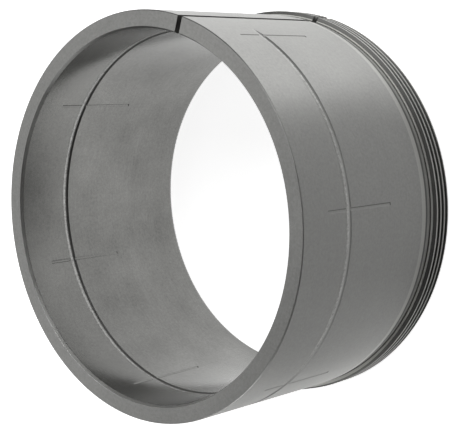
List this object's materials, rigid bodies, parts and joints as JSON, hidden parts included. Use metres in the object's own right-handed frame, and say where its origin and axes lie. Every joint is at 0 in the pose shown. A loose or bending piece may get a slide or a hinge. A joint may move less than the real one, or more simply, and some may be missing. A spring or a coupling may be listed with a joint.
{
  "type": "withdrawal sleeve",
  "caption": "Split steel ring with a straight bore, a slow outer taper, oil grooves and a trapezoidal thread on its thick end. It seats a tapered-bore bearing on a plain shaft.",
  "frame": {"origin": "centre of the threaded end face, on the sleeve's axis", "axes": "+Z along the axis towards the thin end, +Y towards the slit, +X to the right of the slit seen from outside with the thin end up"},
  "size_m": [0.25, 0.25, 0.137],
  "materials": {
    "steel": "satin, finely turned and ground"
  },
  "bodies": {
    "root": {"sleeve": "steel"}
  },
  "joints": []
}
